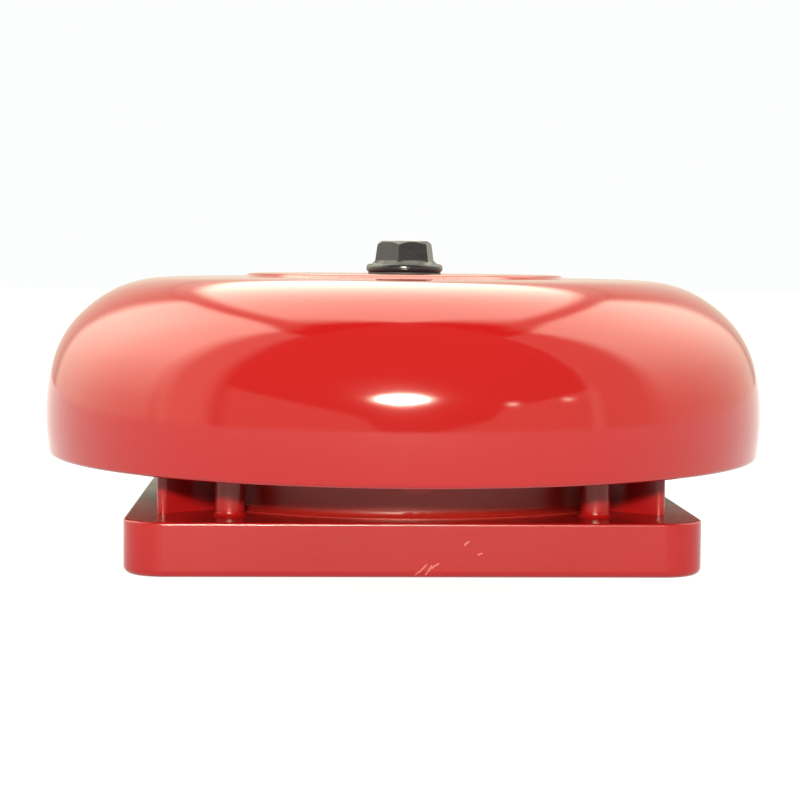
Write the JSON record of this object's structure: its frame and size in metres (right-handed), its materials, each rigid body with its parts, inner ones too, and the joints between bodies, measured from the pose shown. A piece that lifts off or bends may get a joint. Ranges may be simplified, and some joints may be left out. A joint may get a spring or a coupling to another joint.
{
  "type": "fire alarm bell",
  "caption": "Wall fire alarm bell: round red gong held by a black cap nut over a round mechanism cover on a square moulded base, with a motor-driven striker.",
  "frame": {"origin": "centre of the base's back face, which lies on the wall", "axes": "+Z out of the wall along the gong's axis, -Y towards the striker side, +X to the right when the striker side faces the viewer"},
  "size_m": [0.15, 0.15, 0.0634],
  "materials": {
    "red_moulding": "glossy red moulding",
    "red_enamel": "glossy red enamel",
    "black_plastic": "satin black",
    "gasket_rubber": "matt",
    "grommet_rubber": "matt",
    "fibre": "red vulcanised fibre, matt",
    "zinc_steel": "zinc plated",
    "zinc_screw": "zinc plated",
    "nickel_steel": "nickel plated",
    "ground_steel": "ground",
    "spring_steel": "bright drawn",
    "lamination_steel": "dark varnished",
    "ferrite": "matt dark",
    "brass": "bright",
    "bronze": "sintered",
    "copper_wire": "varnished copper wire",
    "motor_plastic": "satin",
    "wheel_plastic": "satin acetal",
    "roller_plastic": "satin acetal",
    "board": "solder resist",
    "block_plastic": "satin",
    "capacitor_sleeve": "shrink sleeve",
    "diode_body": "moulded",
    "suppressor": "dipped",
    "red_wire": "insulation",
    "black_wire": "insulation"
  },
  "bodies": {
    "housing": {"base": "red_moulding", "board_screws": "zinc_screw", "cable_grommet": "grommet_rubber", "cap_nut": "black_plastic", "cap_washer": "gasket_rubber", "capacitor": "capacitor_sleeve", "circuit_board": "board", "cover_gasket": "gasket_rubber", "cover_screws": "zinc_screw", "diodes": "diode_body", "fibre_washer": "fibre", "gong": "red_enamel", "gong_stud": "zinc_steel", "gong_washer": "zinc_steel", "guide_bush": "bronze", "lead_black": "black_wire", "lead_red": "red_wire", "lock_nut": "zinc_steel", "mechanism_cover": "red_moulding", "motor_bush": "bronze", "motor_can": "nickel_steel", "motor_end_cap": "motor_plastic", "motor_magnets": "ferrite", "motor_plate": "zinc_steel", "motor_screws": "zinc_screw", "motor_terminals": "brass", "nut_insert": "brass", "plate_screws": "zinc_screw", "plate_spacers": "zinc_steel", "return_spring": "spring_steel", "surge_suppressor": "suppressor", "terminal_block": "block_plastic", "terminal_screws": "zinc_screw"},
    "rotor": {"motor_shaft": "ground_steel", "armature_core": "lamination_steel", "armature_windings": "copper_wire", "commutator": "bronze", "striker_wheel": "wheel_plastic", "crank_pin": "ground_steel", "pin_clip": "spring_steel"},
    "roller": {"crank_roller": "roller_plastic"},
    "striker": {"striker_rod": "ground_steel", "follower_head": "roller_plastic", "striker_nose": "ground_steel", "rod_bumper": "gasket_rubber", "rod_clip": "spring_steel"}
  },
  "joints": [
    {"name": "rotor_spin", "type": "hinge", "parent": "housing", "child": "rotor", "pos_m": [0, -0.0185, 0.02], "axis": [0, 0, 1], "continuous": true},
    {"name": "roller_spin", "type": "hinge", "parent": "rotor", "child": "roller", "pos_m": [0.00848, -0.02698, 0.0218], "axis": [0, 0, 1], "continuous": true},
    {"name": "striker_slide", "type": "slide", "parent": "housing", "child": "striker", "axis": [0, -1, 0], "range_m": [0, 0.0026], "stiffness_N_per_m": 200, "springref_m": -0.003, "deforming": ["return_spring"]}
  ]
}
